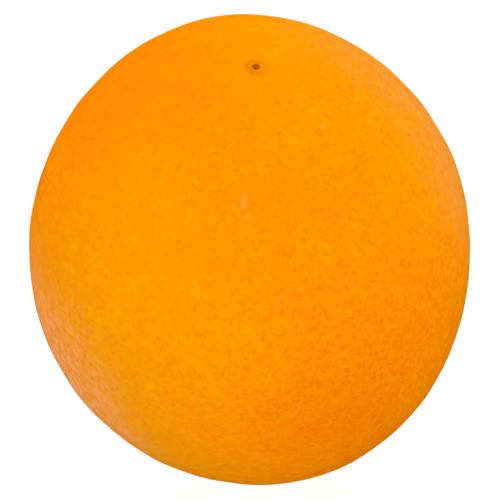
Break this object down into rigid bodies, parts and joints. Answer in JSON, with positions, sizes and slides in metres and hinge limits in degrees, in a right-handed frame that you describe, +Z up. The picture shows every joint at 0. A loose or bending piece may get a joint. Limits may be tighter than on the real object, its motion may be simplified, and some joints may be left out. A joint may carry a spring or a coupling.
{
  "type": "orange",
  "caption": "Whole orange with finely pitted peel and a small stylar scar, standing on its stem end, with the dry calyx button in the hollow below.",
  "frame": {"origin": "on the resting surface, below the middle of the fruit's box", "axes": "+Z up along the fruit's own axis, from the stem end to the blossom end; -Y towards the picture's camera"},
  "size_m": [0.0794, 0.0828, 0.0837],
  "materials": {
    "peel": "waxy satin citrus peel with fine oil gland pits",
    "calyx": "dry matt brown-green calyx"
  },
  "bodies": {
    "root": {"orange_fruit": "peel", "calyx_button": "calyx"}
  },
  "joints": []
}
